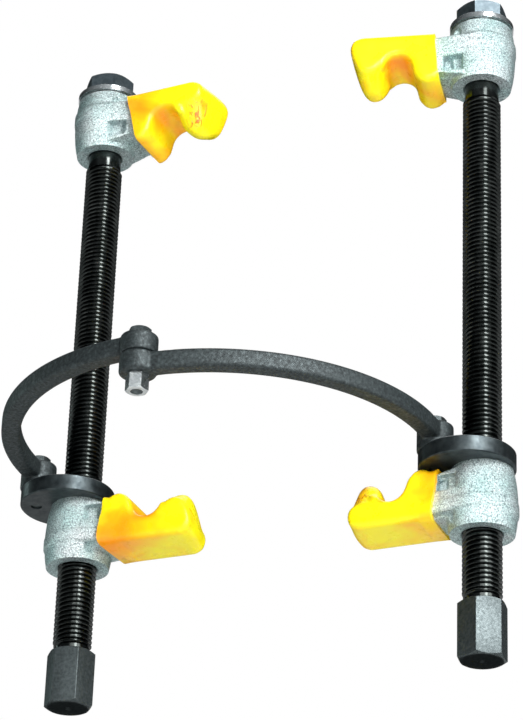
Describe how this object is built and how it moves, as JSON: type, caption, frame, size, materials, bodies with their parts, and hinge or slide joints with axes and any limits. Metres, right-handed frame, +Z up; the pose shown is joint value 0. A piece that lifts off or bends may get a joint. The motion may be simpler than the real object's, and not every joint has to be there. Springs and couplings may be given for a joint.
{
  "type": "coil spring compressor",
  "caption": "Coil spring compressor: paired screw spindles with padded hook claws, joined by a hinged pair of curved arms on eccentric discs.",
  "frame": {"origin": "centre of the base of the bounding box, on the surface the drive hexes stand on", "axes": "+Z up along the spindles, +X from the left spindle to the right one, arms bow towards -Y"},
  "size_m": [0.2698, 0.1574, 0.374],
  "materials": {
    "black_oxide_steel": "gloss",
    "zinc_plated_steel": "satin",
    "bearing_steel": "satin",
    "yellow_plastic": "gloss",
    "zinc_plated_casting": "satin",
    "black_turned_steel": "satin",
    "black_forging": "matte",
    "black_bolt": "satin"
  },
  "bodies": {
    "right_arm": {"right_arm": "black_forging", "hinge_bolt": "black_bolt", "hinge_nut": "zinc_plated_steel"},
    "left_arm": {"left_arm": "black_forging"},
    "right_disc": {"right_disc": "black_turned_steel", "right_pivot_bolt": "black_bolt"},
    "right_lower_claw": {"right_lower_claw": "zinc_plated_casting", "right_lower_cover": "yellow_plastic", "right_circlip": "black_turned_steel"},
    "right_bearing": {"right_bearing_cage": "bearing_steel", "right_bearing_rollers": "bearing_steel"},
    "right_spindle": {"right_spindle": "black_oxide_steel", "right_head_nut": "zinc_plated_steel", "right_thrust_washer": "zinc_plated_steel"},
    "right_upper_claw": {"right_upper_claw": "zinc_plated_casting", "right_upper_cover": "yellow_plastic", "right_bearing_race": "bearing_steel"},
    "left_disc": {"left_disc": "black_turned_steel", "left_pivot_bolt": "black_bolt"},
    "left_lower_claw": {"left_lower_claw": "zinc_plated_casting", "left_lower_cover": "yellow_plastic", "left_circlip": "black_turned_steel"},
    "left_bearing": {"left_bearing_cage": "bearing_steel", "left_bearing_rollers": "bearing_steel"},
    "left_spindle": {"left_spindle": "black_oxide_steel", "left_head_nut": "zinc_plated_steel", "left_thrust_washer": "zinc_plated_steel"},
    "left_upper_claw": {"left_upper_claw": "zinc_plated_casting", "left_upper_cover": "yellow_plastic", "left_bearing_race": "bearing_steel"}
  },
  "joints": [
    {"name": "central_hinge", "type": "hinge", "parent": "right_arm", "child": "left_arm", "pos_m": [-0.0149, -0.06943, 0.13], "axis": [0, 0, 1], "range_deg": [-30, 60]},
    {"name": "right_disc_pivot", "type": "hinge", "parent": "right_arm", "child": "right_disc", "pos_m": [0.0951, 0.04741, 0.115], "axis": [0, 0, 1], "range_deg": [-60, 60]},
    {"name": "right_lower_swivel", "type": "hinge", "parent": "right_disc", "child": "right_lower_claw", "pos_m": [0.1164, 0.05734, 0.104], "axis": [0, 0, 1], "continuous": true},
    {"name": "right_travel", "type": "slide", "parent": "right_lower_claw", "child": "right_bearing", "axis": [0, 0, -1], "range_m": [-0.032, 0.18]},
    {"name": "right_screw", "type": "hinge", "parent": "right_bearing", "child": "right_spindle", "pos_m": [0.1164, 0.05734, 0.2], "axis": [0, 0, -1], "range_deg": [-4615, 25925]},
    {"name": "right_upper_swivel", "type": "hinge", "parent": "right_bearing", "child": "right_upper_claw", "pos_m": [0.1164, 0.05734, 0.34], "axis": [0, 0, 1], "continuous": true},
    {"name": "left_disc_pivot", "type": "hinge", "parent": "left_arm", "child": "left_disc", "pos_m": [-0.1249, 0.04741, 0.115], "axis": [0, 0, 1], "range_deg": [-60, 60]},
    {"name": "left_lower_swivel", "type": "hinge", "parent": "left_disc", "child": "left_lower_claw", "pos_m": [-0.1036, 0.05734, 0.1143], "axis": [0, 0, 1], "continuous": true},
    {"name": "left_travel", "type": "slide", "parent": "left_lower_claw", "child": "left_bearing", "axis": [0, 0, -1], "range_m": [-0.032, 0.18]},
    {"name": "left_screw", "type": "hinge", "parent": "left_bearing", "child": "left_spindle", "pos_m": [-0.1036, 0.05734, 0.2], "axis": [0, 0, -1], "range_deg": [-4615, 25925]},
    {"name": "left_upper_swivel", "type": "hinge", "parent": "left_bearing", "child": "left_upper_claw", "pos_m": [-0.1036, 0.05734, 0.34], "axis": [0, 0, 1], "continuous": true}
  ],
  "couplings": [
    {"joint": "right_screw", "follows": "right_travel", "rad_per_m": 2513.3},
    {"joint": "left_screw", "follows": "left_travel", "rad_per_m": 2513.3}
  ]
}
